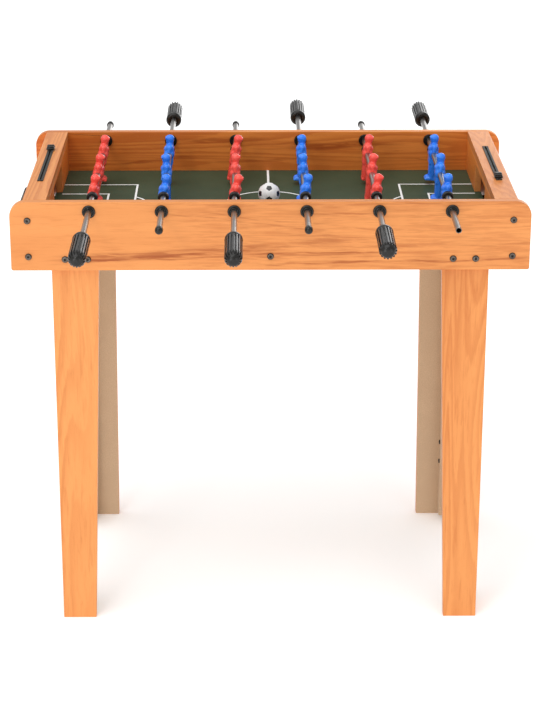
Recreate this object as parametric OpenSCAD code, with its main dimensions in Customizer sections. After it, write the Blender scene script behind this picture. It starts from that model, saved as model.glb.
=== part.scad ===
// Foosball table: a small free-standing table-football game on four L-shaped legs.
// Millimetres. The origin is on the floor under the middle of the table, +Z is up,
// X runs along the table and Y along the rods, with the front of the table at -Y.

/* [Cabinet] */
// Length of the front and back panels
panel_l = 690; // [560:5:900]
// Depth of the cabinet over the outer faces of the panels
cabinet_d = 370; // [300:5:480]
// Height of the rim above the floor
table_h = 620; // [420:5:800]
// Height of the front and back panels
panel_h = 95; // [79:1:125]
// Thickness of the front and back panels
panel_t = 12; // [9:0.5:18]
// Radius of the upper corners of the panels
corner_r = 20; // [5:1:30]
// Radius of the lower corners of the panels
low_corner_r = 3; // [1:0.5:10]
// How far the panels run on past the end boards
panel_overhang = 16; // [4:1:40]

/* [Ends] */
// Width of the rail on top of each end
rail_w = 32; // [27:1:60]
// Thickness of the end rails
rail_t = 12; // [9:0.5:18]
// Radius of the outer top edge of the end rails
rail_edge_r = 3; // [1:0.5:6]
// Thickness of the outer end boards
end_t = 15; // [10:0.5:18]
// Thickness of the goal walls
goal_wall_t = 9; // [6:0.5:12]
// Width of the goals
goal_w = 118; // [90:1:180]
// Height of the wood between the goals and the end rails
goal_lintel = 6.5; // [3:0.5:12]

/* [Playing field] */
// Depth of the field below the rim
field_drop = 59.5; // [49:0.5:72]
// Thickness of the field board
field_t = 4; // [2.5:0.5:8]
// Height of the battens under the field
batten_h = 24; // [12:1:30]
// Width of the battens under the field
batten_w = 13; // [10:1:24]
// Gap between neighbouring battens, and between battens and legs
batten_gap = 1; // [0.5:0.5:5]
// Diameter of the ball
ball_d = 31; // [25:0.5:38]

/* [Ball trays] */
// Width of the ball trays
tray_w = 84; // [70:1:140]
// Wall of the ball trays
tray_wall = 2; // [1.5:0.5:3]
// Room for the ball between the goal wall and the lip, more than its diameter
tray_room = 9; // [5:0.5:20]
// Depth of the tray lips below the rim
tray_lip_drop = 45; // [40:1:60]
// Height of the tray floors above the lower edge of the end boards
tray_foot = 8; // [5:0.5:12]
// Radius of the outer corners of the trays
tray_corner_r = 9; // [4:1:16]
// Width of the fixing flanges of the trays
tray_flange_w = 10; // [8:1:16]
// Gap between a tray and the opening it passes through
tray_gap = 0.5; // [0.2:0.1:2]
// Room over a ball where it passes through the end boards
ball_headroom = 4.5; // [1:0.5:6]

/* [Legs] */
// Distance from the panel ends to the outer faces of the legs
leg_inset = 52.5; // [45:0.5:90]
// Thickness of the leg boards
leg_t = 12; // [9:0.5:18]
// Width of the leg boards that face the front and the back, at the top
leg_w = 63; // [50:1:90]
// Width of the front leg boards at the floor
front_foot_w = 46; // [35:1:80]
// Width of the back leg boards at the floor
back_foot_w = 58; // [35:1:80]
// Width of the side leg boards at the top
side_w = 60; // [40:1:90]
// Width of the side leg boards at the floor
side_foot_w = 44; // [35:1:80]
// Thickness of the strips in the corners of the legs
strip_t = 12.5; // [8:0.5:20]
// Width of the strips in the corners of the legs
strip_w = 25; // [14:1:32]
// How far the strips stop short of the floor and of the field
strip_short = 8; // [2:1:30]

/* [Rods] */
// Outer diameter of the tubes
tube_d = 8; // [6:0.1:10]
// Wall of the tubes
tube_wall = 0.8; // [0.5:0.1:1.5]
// Depth of the rod axes below the rim
rod_drop = 13.2; // [11:0.1:16]
// Distance from a goal wall to the first rod
end_rod_gap = 57; // [48:1:80]
// How far the plain end of a rod stands out of the cabinet
plain_reach = 84; // [60:1:140]
// Radial running gap round the tubes
run_gap = 0.06; // [0.02:0.01:0.1]
// Length of the end caps
cap_l = 9; // [6:0.5:16]
// How much wider a cap is than its tube, on each side
cap_wall = 1.3; // [1:0.1:3]

/* [Bushings and bumpers] */
// Wall of the bushing sleeves
sleeve_wall = 2.2; // [1.5:0.1:3]
// Width of the bushing flanges, from the tube
flange_w = 4.9; // [3.5:0.1:6]
// Thickness of the bushing flanges
flange_t = 3; // [2:0.1:5]
// Length of the bumper rings
bumper_l = 8; // [4:0.5:14]
// Wall of the bumper rings
bumper_wall = 3.5; // [2:0.1:5]
// Gap between a bumper ring and its player
bumper_gap = 0.5; // [0.3:0.1:2]

/* [Handles] */
// Length of the handles with a ribbed end
handle_l = 82; // [60:1:120]
// How much longer the handles with a round end are
round_extra = 5.5; // [0:0.5:12]
// Diameter of the handles
handle_d = 23.5; // [18:0.5:30]
// How far the ribbed handle ends stand out of the cabinet before they are pushed on
handle_reach = 200; // [140:1:260]
// How much deeper the handle of the last front rod is pushed on
deep_push = 27; // [0:1:40]
// How much deeper the handles of the outer back rods are pushed on
back_push = 13; // [0:1:40]
// Diameter of the handles' noses, at the rod side
nose_d = 16; // [13:0.5:20]
// Length of the rounded noses
nose_l = 4; // [3:0.5:16]
// Length of the smooth bands beside the noses
band_l = 5.5; // [3:0.5:25]
// Diameter of the flat on the outer ends of the handles
flat_d = 6; // [5:0.5:16]
// Length of the round ends
round_end_l = 13; // [6:0.5:18]
// Length of the small domes between the ribbed ends
small_dome_l = 4; // [2:0.5:8]
// How far the small domes stand inside the bottoms of the flutes
dome_inset = 0.4; // [0.2:0.1:1]
// Number of flutes round a handle
flutes = 16; // [6:1:18]
// Diameter of the cutter that makes the flutes
flute_d = 2.4; // [1.5:0.1:3.5]
// Depth of the flutes
flute_depth = 1.8; // [0.6:0.1:2.2]
// Wall between the end of a tube and the end of its handle
handle_end_wall = 7; // [3:0.5:12]

/* [Players] */
// Distance between the players on a rod
player_pitch = 102; // [85:1:115]
// Width of a player, along the rod
player_w = 25; // [18:0.5:32]
// Height of the head above the rod axis
head_rise = 28; // [24:0.5:34]
// Diameter of a head
head_d = 12.5; // [9:0.5:16]
// Gap between the feet and the field
foot_gap = 6; // [4:0.5:12]
// Wall of a player round its tube
boss_wall = 3.6; // [2.5:0.1:5]
// How far the toe stands forward of the rod axis
toe_reach = 9.5; // [6:0.5:12]
// Angle at which the players rest, with their heads towards the right end
lean = 6; // [0:1:12]

/* [Score counters] */
// Length of the score tracks
track_l = 171; // [110:1:240]
// Width of the score tracks
track_w = 8; // [7:0.5:12]
// Height of the score tracks above the rail
track_rise = 1.5; // [1:0.1:3]
// Depth of the score tracks in the rail
track_sink = 4; // [3:0.1:6]
// Wall of the score tracks
track_wall = 1.2; // [1:0.1:2]
// Width of the slot in the score tracks
slot_w = 2; // [2:0.1:4]
// Gap round the sliding counters
slide_gap = 0.3; // [0.2:0.1:0.8]
// Length of the sliding knobs
knob_l = 15; // [8:0.5:20]
// Width of the sliding knobs
knob_w = 11.5; // [9:0.5:18]
// Height of the sliding knobs
knob_h = 6; // [2.5:0.5:8]
// Rest distance of each knob from its end of the track
knob_rest = 3; // [1:0.5:20]

/* [Screws] */
// Diameter of the panel screw heads
head_dia = 9; // [7:0.5:14]
// Height of the panel screw heads
head_h = 2.4; // [1.5:0.1:4]
// Diameter of the panel screw shanks
shank_d = 5; // [3:0.1:6]
// Length of the panel screws in the end boards and the middle batten
long_grip = 26; // [12:1:40]
// Wood left behind the points of the screws in the leg boards
point_wall = 2; // [1:0.5:4]
// Diameter of the small screw heads
small_head_dia = 7; // [5:0.5:10]
// Height of the small screw heads
small_head_h = 2; // [1:0.1:3]
// Diameter of the small screw shanks
small_shank_d = 3.5; // [2.5:0.1:5]
// Length of the small screws in the wood behind the piece they hold
small_grip = 8; // [5:0.5:9]
// Depth of the upper corner screws below the rim
corner_screw_top = 25.5; // [20:0.5:34]
// Height of the lower corner screws above the panel's lower edge
corner_screw_low = 19.5; // [12:0.5:30]
// Distance of the outer leg screw from the leg's outer face
leg_screw_out = 19.5; // [10:0.5:30]
// Distance between the two leg screws
leg_screw_pitch = 30; // [15:0.5:45]
// Height of the lowest small screw in a leg strip
strip_screw_z = 96; // [40:1:150]
// Distance between the two screws of a pair in a leg strip
strip_screw_pitch = 32; // [15:1:60]

/* [Hidden] */
$fn = 48;
ROD_COUNT = 6;
SIDES = [-1, 1];
UNCAPPED_ROD = 6;
ROUND_ENDED_RODS = [1, 3, 4];
// How much of the lean the near, middle and far player of each rod have
LEAN_SHARES = [
    [1.5, 1.2, 1.3],
    [2, 0, 0.8],
    [2.3, 0.3, 1.8],
    [2, 0, 0.5],
    [1.3, 1, 0.8],
    [1, 0.7, 0.8]
];
cut = 1;

WOOD = "#f2a568";
RAW_BOARD = "#bd966c";
FIELD_GREEN = "#44503e";
BLACK = "#26282a";
STEEL = "#a8abad";
RED = "#f04438";
BLUE = "#2563e0";
WHITE = "#f2f2f0";

// Heights
rim_z = table_h;
panel_z = rim_z - panel_h;
field_z = rim_z - field_drop;
under_field_z = field_z - field_t;
rod_z = rim_z - rod_drop;
under_rail_z = rim_z - rail_t;
goal_top_z = under_rail_z - goal_lintel;
ball_hole_top_z = field_z + ball_d + ball_headroom;
batten_z = under_field_z - batten_h;
tray_floor_z = panel_z + tray_foot;
tray_lip_z = rim_z - tray_lip_drop;

// Distances from the middle of the table along X and Y
inner_y = cabinet_d / 2 - panel_t;
rail_out_x = panel_l / 2 - panel_overhang;
goal_x = rail_out_x - rail_w;
goal_back_x = goal_x + goal_wall_t;
end_in_x = rail_out_x - end_t;
end_mid_x = rail_out_x - end_t / 2;
rail_mid_x = rail_out_x - rail_w / 2;
leg_out_x = panel_l / 2 - leg_inset;
tray_out_x = goal_back_x + ball_d + tray_room + tray_wall;

// Rods
rod_pitch = 2 * (goal_x - end_rod_gap) / (ROD_COUNT - 1);
tube_r = tube_d / 2;
bore_r = tube_r + run_gap;
sleeve_r = bore_r + sleeve_wall;
flange_r = tube_r + flange_w;
foot_drop = field_drop - rod_drop - foot_gap;
bumper_y = player_pitch + player_w / 2 + bumper_gap;

// Screws
leg_screw_xs = [leg_out_x - leg_screw_out, leg_out_x - leg_screw_out - leg_screw_pitch];
corner_screw_zs = [rim_z - corner_screw_top, panel_z + corner_screw_low];
middle_screw_z = under_field_z - batten_h / 2;
leg_screw_z = (panel_z + under_field_z) / 2;
strip_top_z = under_field_z - strip_short;
strip_screw_zs = [
    strip_screw_z,
    strip_screw_z + strip_screw_pitch,
    strip_top_z - strip_screw_z,
    strip_top_z - strip_screw_z + strip_screw_pitch
];
strip_screw_y = inner_y - leg_t - strip_w / 2;
tray_screw_y = tray_w / 2 + tray_flange_w / 2;
tray_screw_zs = [tray_floor_z + tray_flange_w / 2, tray_lip_z - tray_flange_w / 2];

function rod_x(k) = (k - (ROD_COUNT + 1) / 2) * rod_pitch;
function is_front(k) = k % 2 == 1;
function push(k) = [0, back_push, 0, 0, deep_push, back_push][k - 1];
function is_round_ended(k) = len(search(k, ROUND_ENDED_RODS)) > 0;
function extra_l(k) = is_round_ended(k) ? round_extra : 0;
function grip_l(k) = handle_l + extra_l(k);
function reach(k) = handle_reach - push(k) + extra_l(k);
function player_lean(k, i) = lean * LEAN_SHARES[k - 1][(is_front(k) ? i : -i) + 1];

// ---- Placing helpers -------------------------------------------------------

// A round bar or hole along +Y that starts at the origin
module bar_y(r, length) {
    rotate([-90, 0, 0]) cylinder(r = r, h = length);
}

// Turns a front piece into the back one when sy is 1
module to_y_side(sy) {
    mirror([0, sy > 0 ? 1 : 0, 0]) children();
}

// Turns a right-hand piece into the left-hand one when sx is -1
module to_x_side(sx) {
    mirror([sx < 0 ? 1 : 0, 0, 0]) children();
}

// Puts a piece drawn round the Y axis, with its handle towards -Y, on rod k
module on_rod(k) {
    translate([rod_x(k), 0, rod_z]) to_y_side(is_front(k) ? -1 : 1) children();
}

// ---- Screws ----------------------------------------------------------------

// A screw along +Y whose head stands out of the plane y = 0, with a hexagon socket
module screw_y(head_r, head_height, shank_r, length) {
    difference() {
        union() {
            translate([0, -head_height, 0]) bar_y(head_r, head_height);
            bar_y(shank_r, length);
        }
        translate([0, -head_height - cut, 0])
            rotate([-90, 0, 0]) cylinder(r = head_r * 0.42, h = head_height * 0.7 + cut, $fn = 6);
    }
}

module panel_screw(length) {
    screw_y(head_dia / 2, head_h, shank_d / 2, length);
}

module small_screw(length) {
    screw_y(small_head_dia / 2, small_head_h, small_shank_d / 2, length);
}

// The places of the screws that hold the end boards and the middle batten, on the front panel
module at_panel_screws() {
    for (sx = SIDES, z = corner_screw_zs)
        translate([sx * end_mid_x, -cabinet_d / 2, z]) children();
    translate([0, -cabinet_d / 2, middle_screw_z]) children();
}

// The places of the screws that hold the legs, on the front panel
module at_leg_screws() {
    for (sx = SIDES, x = leg_screw_xs)
        translate([sx * x, -cabinet_d / 2, leg_screw_z]) children();
}

// The places of the small screws in the strip of the front right leg, pointing at +X
module at_strip_screws() {
    for (z = strip_screw_zs)
        translate([leg_out_x - leg_t - strip_t, -strip_screw_y, z]) rotate([0, 0, -90]) children();
}

// The places of the small screws in the flange of the right tray, pointing at -X
module at_tray_screws() {
    for (sy = SIDES, z = tray_screw_zs)
        translate([rail_out_x + tray_wall, sy * tray_screw_y, z]) rotate([0, 0, 90]) children();
}

module panel_screws() {
    color(BLACK)
    for (sy = SIDES)
        to_y_side(sy) at_panel_screws() panel_screw(panel_t + long_grip);
}

module leg_screws() {
    color(BLACK)
    for (sy = SIDES)
        to_y_side(sy) at_leg_screws() panel_screw(panel_t + leg_t - point_wall);
}

module small_screws() {
    color(BLACK) {
        for (sx = SIDES, sy = SIDES)
            to_x_side(sx) to_y_side(sy) at_strip_screws() small_screw(strip_t + small_grip);
        for (sx = SIDES)
            to_x_side(sx) at_tray_screws() small_screw(tray_wall + small_grip);
    }
}

// ---- Cabinet ---------------------------------------------------------------

// The outline of a long panel, with its lower edge on the X axis
module panel_outline() {
    translate([-panel_l / 2 + corner_r, low_corner_r])
        square([panel_l - 2 * corner_r, panel_h - low_corner_r]);
    translate([-panel_l / 2, low_corner_r])
        square([panel_l, panel_h - corner_r - low_corner_r]);
    translate([-panel_l / 2 + low_corner_r, 0])
        square([panel_l - 2 * low_corner_r, 2 * low_corner_r]);
    for (sx = SIDES) {
        translate([sx * (panel_l / 2 - corner_r), panel_h - corner_r]) circle(r = corner_r);
        translate([sx * (panel_l / 2 - low_corner_r), low_corner_r]) circle(r = low_corner_r);
    }
}

module long_panel(sy) {
    color(WOOD)
    to_y_side(sy)
    difference() {
        translate([0, -inner_y, panel_z])
            rotate([90, 0, 0]) linear_extrude(panel_t) panel_outline();
        for (k = [1 : ROD_COUNT])
            translate([rod_x(k), -cabinet_d / 2 - cut, rod_z]) bar_y(sleeve_r, panel_t + 2 * cut);
        at_panel_screws() translate([0, -cut, 0]) bar_y(shank_d / 2, panel_t + 2 * cut);
        at_leg_screws() translate([0, -cut, 0]) bar_y(shank_d / 2, panel_t + 2 * cut);
    }
}

module end_board(sx) {
    hole_w = tray_w + 2 * tray_gap;
    hole_z = tray_floor_z - tray_wall - tray_gap;
    color(WOOD)
    to_x_side(sx)
    difference() {
        translate([end_in_x, -inner_y, panel_z])
            cube([end_t, 2 * inner_y, under_rail_z - panel_z]);
        translate([end_in_x - cut, -hole_w / 2, hole_z])
            cube([end_t + 2 * cut, hole_w, ball_hole_top_z - hole_z]);
        for (sy = SIDES)
            to_y_side(sy) at_panel_screws() bar_y(shank_d / 2, panel_t + long_grip);
        at_tray_screws() bar_y(small_shank_d / 2, tray_wall + small_grip);
    }
}

// The rail's cross-section, with its top at y = 0 and its inner face at x = 0
module rail_section() {
    translate([0, -rail_t]) square([rail_w, rail_t - rail_edge_r]);
    translate([0, -rail_t]) square([rail_w - rail_edge_r, rail_t]);
    translate([rail_w - rail_edge_r, -rail_edge_r]) circle(r = rail_edge_r);
}

module end_rail(sx) {
    color(WOOD)
    to_x_side(sx)
    difference() {
        translate([goal_x, inner_y, rim_z])
            rotate([90, 0, 0]) linear_extrude(2 * inner_y) rail_section();
        translate([rail_mid_x - track_w / 2, -track_l / 2, rim_z - track_sink])
            cube([track_w, track_l, track_sink + cut]);
    }
}

module goal_wall(sx) {
    color(WOOD)
    to_x_side(sx)
    difference() {
        translate([goal_x, -inner_y, field_z])
            cube([goal_wall_t, 2 * inner_y, under_rail_z - field_z]);
        translate([goal_x - cut, -goal_w / 2, field_z - cut])
            cube([goal_wall_t + 2 * cut, goal_w, goal_top_z - field_z + cut]);
    }
}

module playfield() {
    color(FIELD_GREEN)
    translate([-goal_back_x, -inner_y, under_field_z])
        cube([2 * goal_back_x, 2 * inner_y, field_t]);
}

module field_battens() {
    long_start = batten_w / 2 + batten_gap;
    long_end = leg_out_x - leg_w - batten_gap;
    across_y = inner_y - leg_t - side_w - batten_gap;
    color(RAW_BOARD) {
        // Middle batten, which the middle screws hold
        difference() {
            translate([-batten_w / 2, -inner_y, batten_z])
                cube([batten_w, 2 * inner_y, batten_h]);
            for (sy = SIDES)
                to_y_side(sy) at_panel_screws() bar_y(shank_d / 2, panel_t + long_grip);
        }
        // Battens along the panels, between the legs
        for (sx = SIDES, sy = SIDES)
            to_x_side(sx) to_y_side(sy)
                translate([long_start, -inner_y, batten_z])
                    cube([long_end - long_start, batten_w, batten_h]);
        // Battens across the ends, between the legs
        for (sx = SIDES)
            to_x_side(sx)
                translate([goal_back_x - batten_w, -across_y, batten_z])
                    cube([batten_w, 2 * across_y, batten_h]);
    }
}

// ---- Ball trays ------------------------------------------------------------

// The tray seen from above, drawn smaller by inset on its closed sides
module tray_plan(inset) {
    out_x = tray_out_x - inset;
    half_w = tray_w / 2 - inset;
    r = tray_corner_r - inset;
    translate([goal_back_x, -half_w]) square([out_x - r - goal_back_x, 2 * half_w]);
    translate([goal_back_x, -half_w + r]) square([out_x - goal_back_x, 2 * (half_w - r)]);
    for (sy = SIDES)
        translate([out_x - r, sy * (half_w - r)]) circle(r = r);
}

module ball_tray(sx) {
    bottom_z = tray_floor_z - tray_wall;
    flange_half_w = tray_w / 2 + tray_flange_w;
    color(BLACK)
    to_x_side(sx)
    difference() {
        union() {
            translate([0, 0, bottom_z]) linear_extrude(tray_lip_z - bottom_z) tray_plan(0);
            translate([rail_out_x, -flange_half_w, bottom_z])
                cube([tray_wall, 2 * flange_half_w, tray_lip_z - bottom_z]);
        }
        translate([0, 0, tray_floor_z])
            linear_extrude(tray_lip_z) tray_plan(tray_wall);
        translate([goal_back_x - cut, -tray_w / 2 + tray_wall, tray_floor_z])
            cube([ball_d, tray_w - 2 * tray_wall, tray_lip_z]);
        // Low sides behind the goal, so that a ball can roll along it to the tray
        translate([goal_back_x - cut, -tray_w / 2 - cut, field_z])
            cube([end_in_x - goal_back_x + cut, tray_w + 2 * cut, tray_lip_z]);
        at_tray_screws() translate([0, -cut, 0]) bar_y(small_shank_d / 2, tray_wall + 2 * cut);
    }
}

// ---- Score counters --------------------------------------------------------

module score_track(sx) {
    inside_w = track_w - 2 * track_wall;
    inside_h = track_sink + track_rise - 2 * track_wall;
    color(BLACK)
    to_x_side(sx)
    translate([rail_mid_x, 0, rim_z - track_sink])
    difference() {
        translate([-track_w / 2, -track_l / 2, 0])
            cube([track_w, track_l, track_sink + track_rise]);
        translate([-inside_w / 2, -track_l / 2 + track_wall, track_wall])
            cube([inside_w, track_l - 2 * track_wall, inside_h]);
        translate([-slot_w / 2, -track_l / 2 + track_wall, track_wall])
            cube([slot_w, track_l - 2 * track_wall, track_sink + track_rise]);
    }
}

// The left counter rests at the far end of its track and the right one at the near end
module score_slider(sx) {
    inside_w = track_w - 2 * track_wall;
    foot_h = track_sink + track_rise - 2 * track_wall - 2 * slide_gap;
    foot_z = rim_z - track_sink + track_wall + slide_gap;
    knob_z = rim_z + track_rise + slide_gap;
    stem_w = slot_w - 2 * slide_gap;
    y = -sx * (track_l / 2 - track_wall - knob_rest - knob_l / 2);
    color(BLACK)
    translate([sx * rail_mid_x, y, 0]) {
        translate([-knob_w / 2, -knob_l / 2, knob_z]) cube([knob_w, knob_l, knob_h]);
        translate([-stem_w / 2, -knob_l / 2, foot_z]) cube([stem_w, knob_l, knob_z - foot_z]);
        translate([-inside_w / 2 + slide_gap, -knob_l / 2, foot_z])
            cube([inside_w - 2 * slide_gap, knob_l, foot_h]);
    }
}

// ---- Legs ------------------------------------------------------------------

// A leg board's outline: straight outer edge at x = 0, narrowing below the panel
module leg_outline(top_w, foot_w) {
    polygon([
        [0, 0],
        [-foot_w, 0],
        [-top_w, panel_z],
        [-top_w, under_field_z],
        [0, under_field_z]
    ]);
}

module leg_face(sx, sy) {
    color(WOOD)
    to_x_side(sx) to_y_side(sy)
    difference() {
        translate([leg_out_x, -inner_y + leg_t, 0])
            rotate([90, 0, 0]) linear_extrude(leg_t)
                leg_outline(leg_w, sy < 0 ? front_foot_w : back_foot_w);
        at_leg_screws() bar_y(shank_d / 2, panel_t + leg_t - point_wall);
    }
}

module leg_side(sx, sy) {
    color(WOOD)
    to_x_side(sx) to_y_side(sy)
    difference() {
        translate([leg_out_x - leg_t, -inner_y + leg_t, 0])
            rotate([90, 0, 90]) linear_extrude(leg_t)
                mirror([1, 0]) leg_outline(side_w, side_foot_w);
        at_strip_screws() bar_y(small_shank_d / 2, strip_t + small_grip);
    }
}

module leg_corner_strips() {
    color(RAW_BOARD)
    for (sx = SIDES, sy = SIDES)
        to_x_side(sx) to_y_side(sy)
        difference() {
            translate([leg_out_x - leg_t - strip_t, -inner_y + leg_t, strip_short])
                cube([strip_t, strip_w, strip_top_z - strip_short]);
            at_strip_screws() translate([0, -cut, 0]) bar_y(small_shank_d / 2, strip_t + 2 * cut);
        }
}

// ---- Rods ------------------------------------------------------------------

// Each bushing is a flanged sleeve pushed in from outside and a ring on its inner end
module bushings(sy) {
    sleeve_l = panel_t + 2 * flange_t;
    color(BLACK)
    to_y_side(sy)
    for (k = [1 : ROD_COUNT])
        translate([rod_x(k), -cabinet_d / 2 - flange_t, rod_z]) {
            difference() {
                union() {
                    bar_y(sleeve_r, sleeve_l);
                    bar_y(flange_r, flange_t);
                }
                translate([0, -cut, 0]) bar_y(bore_r, sleeve_l + 2 * cut);
            }
            translate([0, flange_t + panel_t, 0])
            difference() {
                bar_y(flange_r, flange_t);
                translate([0, -cut, 0]) bar_y(sleeve_r, flange_t + 2 * cut);
            }
        }
}

module rod_tube(k) {
    start_y = -(cabinet_d / 2 + reach(k) - handle_end_wall);
    length = cabinet_d / 2 + plain_reach - start_y;
    color(STEEL)
    on_rod(k)
    translate([0, start_y, 0])
    difference() {
        bar_y(tube_r, length);
        translate([0, -cut, 0]) bar_y(tube_r - tube_wall, length + 2 * cut);
    }
}

// A black cap with a domed end over the plain end of the tube
module rod_end_cap(k) {
    r = tube_r + cap_wall;
    end_y = cabinet_d / 2 + plain_reach;
    color(BLACK)
    on_rod(k)
    difference() {
        union() {
            translate([0, end_y - cap_l + cap_wall, 0]) bar_y(r, cap_l - cap_wall);
            intersection() {
                translate([0, end_y, 0]) sphere(r = r);
                translate([0, end_y, 0]) bar_y(r, cap_wall + cut);
            }
        }
        translate([0, end_y - cap_l, 0]) bar_y(tube_r, cap_l);
    }
}

// Half the section of a handle: rod side at y = 0, outer end at y = grip_l(k)
module handle_section(k) {
    r = handle_d / 2;
    nose_r = nose_d / 2;
    flat_r = flat_d / 2;
    dome_r = is_round_ended(k) ? r : r - flute_depth - dome_inset;
    dome_l = is_round_ended(k) ? round_end_l : small_dome_l;
    nose = [
        for (a = [0 : 15 : 90])
            [nose_r + (r - nose_r) * sin(a), nose_l * (1 - cos(a))]
    ];
    shoulder = is_round_ended(k) ? [] : [[r, grip_l(k) - dome_l]];
    dome = [
        for (a = [0 : 15 : 90])
            [flat_r + (dome_r - flat_r) * cos(a), grip_l(k) - dome_l * (1 - sin(a))]
    ];
    polygon(concat([[0, 0]], nose, shoulder, dome, [[0, grip_l(k)]]));
}

module rod_handle(k) {
    flute_at = (handle_d + flute_d) / 2 - flute_depth;
    flute_start = nose_l + band_l;
    flute_end = is_round_ended(k) ? grip_l(k) - round_end_l : grip_l(k) + cut;
    color(BLACK)
    on_rod(k)
    translate([0, grip_l(k) - cabinet_d / 2 - reach(k), 0])
    difference() {
        rotate([90, 0, 0]) rotate_extrude() handle_section(k);
        for (i = [0 : flutes - 1])
            rotate([0, i * 360 / flutes, 0])
                translate([flute_at, -flute_end, 0])
                    bar_y(flute_d / 2, flute_end - flute_start);
        translate([0, handle_end_wall - grip_l(k), 0]) bar_y(tube_r, grip_l(k));
    }
}

// One player with its rod along Y through the origin, looking towards +X
module player() {
    boss_r = tube_r + boss_wall;
    hip_z = -foot_drop * 0.35;
    foot_h = foot_drop * 0.16;
    difference() {
        union() {
            // Chest and shoulders
            translate([-boss_r * 0.8, -player_w / 2, 0])
                cube([boss_r * 1.6, player_w, head_rise * 0.4]);
            // Boss round the rod
            translate([0, -player_w / 2, 0]) bar_y(boss_r, player_w);
            // Neck and head
            translate([0.5, 0, 0]) cylinder(r = head_d * 0.3, h = head_rise - head_d / 2);
            translate([1, 0, head_rise - head_d / 2]) sphere(r = head_d / 2);
            // Hips and legs
            translate([-boss_r * 0.75, -player_w * 0.38, -foot_drop])
                cube([boss_r * 1.3, player_w * 0.76, foot_drop]);
            translate([-boss_r * 0.85, -player_w * 0.44, hip_z])
                cube([boss_r * 1.7, player_w * 0.88, -hip_z]);
            // Foot
            translate([-boss_r * 0.75, -player_w * 0.4, -foot_drop])
                cube([boss_r * 0.75 + toe_reach, player_w * 0.8, foot_h]);
        }
        translate([0, -player_w, 0]) bar_y(tube_r, 2 * player_w);
    }
}

module rod_players(k) {
    color(is_front(k) ? RED : BLUE)
    on_rod(k)
    for (i = [-1 : 1])
        translate([0, i * player_pitch, 0])
            rotate([0, player_lean(k, i), 0])
                to_x_side(is_front(k) ? 1 : -1) player();
}

module rod_bumpers(k) {
    color(BLACK)
    on_rod(k)
    for (sy = SIDES)
        to_y_side(sy)
        translate([0, -bumper_y - bumper_l, 0])
        difference() {
            bar_y(tube_r + bumper_wall, bumper_l);
            translate([0, -cut, 0]) bar_y(bore_r, bumper_l + 2 * cut);
        }
}

module ball() {
    color(WHITE)
    translate([0, 0, field_z + ball_d / 2]) sphere(r = ball_d / 2);
}

// ---- Nodes -----------------------------------------------------------------

long_panel(-1);  // front_panel
long_panel(1);  // back_panel
end_board(-1);  // left_end_board
end_board(1);  // right_end_board
end_rail(-1);  // left_end_rail
end_rail(1);  // right_end_rail
goal_wall(-1);  // left_goal_wall
goal_wall(1);  // right_goal_wall
playfield();
field_battens();
ball_tray(-1);  // left_ball_tray
ball_tray(1);  // right_ball_tray
score_track(-1);  // left_score_track
score_track(1);  // right_score_track
leg_face(-1, -1);  // front_left_leg_face
leg_face(1, -1);  // front_right_leg_face
leg_face(-1, 1);  // back_left_leg_face
leg_face(1, 1);  // back_right_leg_face
leg_side(-1, -1);  // front_left_leg_side
leg_side(1, -1);  // front_right_leg_side
leg_side(-1, 1);  // back_left_leg_side
leg_side(1, 1);  // back_right_leg_side
leg_corner_strips();
panel_screws();
leg_screws();
small_screws();
bushings(-1);  // front_bushings
bushings(1);  // back_bushings
score_slider(-1);  // left_score_slider
score_slider(1);  // right_score_slider
ball();
for (k = [1 : ROD_COUNT]) {
    rod_tube(k);
    rod_handle(k);
    rod_players(k);
    rod_bumpers(k);
    if (k != UNCAPPED_ROD)
        rod_end_cap(k);
}
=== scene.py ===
"""The looks of a small foosball table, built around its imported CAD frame.

Metres, in the table's own frame: the origin is on the floor under the middle of the
table, X runs along it, Y along the rods with the front at -Y, and Z is up.
"""

import math

import bmesh
import bpy
from mathutils import Matrix, Vector


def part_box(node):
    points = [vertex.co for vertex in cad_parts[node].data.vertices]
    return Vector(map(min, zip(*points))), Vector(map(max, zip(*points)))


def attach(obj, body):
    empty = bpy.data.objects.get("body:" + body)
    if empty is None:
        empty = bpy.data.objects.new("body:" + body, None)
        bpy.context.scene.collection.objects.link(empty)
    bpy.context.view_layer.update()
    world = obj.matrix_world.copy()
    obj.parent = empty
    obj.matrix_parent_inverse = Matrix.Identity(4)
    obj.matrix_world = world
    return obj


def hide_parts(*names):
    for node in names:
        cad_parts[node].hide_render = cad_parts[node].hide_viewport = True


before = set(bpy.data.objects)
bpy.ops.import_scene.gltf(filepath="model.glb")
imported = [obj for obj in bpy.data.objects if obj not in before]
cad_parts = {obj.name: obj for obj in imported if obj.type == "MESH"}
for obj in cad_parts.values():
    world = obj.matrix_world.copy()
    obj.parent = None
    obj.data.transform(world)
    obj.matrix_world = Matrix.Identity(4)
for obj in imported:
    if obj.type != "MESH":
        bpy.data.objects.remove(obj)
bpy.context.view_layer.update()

MM = 0.001
RODS = range(1, 7)
UNCAPPED_ROD = 6
CABINET = "cabinet"
RUNNING_FIT = 0.06 * MM


# ---- Reading the frame ------------------------------------------------------

def solids(node):
    """The vertices of each separate solid of a CAD node, ordered along X, then Y, then Z."""
    bm = bmesh.new()
    bm.from_mesh(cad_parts[node].data)
    bmesh.ops.remove_doubles(bm, verts=bm.verts, dist=0.001 * MM)
    left = set(bm.verts)
    found = []
    while left:
        stack = [left.pop()]
        island = []
        while stack:
            vert = stack.pop()
            island.append(vert.co.copy())
            for edge in vert.link_edges:
                other = edge.other_vert(vert)
                if other in left:
                    left.remove(other)
                    stack.append(other)
        found.append(island)
    bm.free()
    return sorted(found, key=lambda points: tuple(round(v, 5) for v in box_of(points)[0]))


def box_of(points):
    """The lowest and highest corners of some points."""
    low = Vector([min(p[i] for p in points) for i in range(3)])
    high = Vector([max(p[i] for p in points) for i in range(3)])
    return low, high


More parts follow.
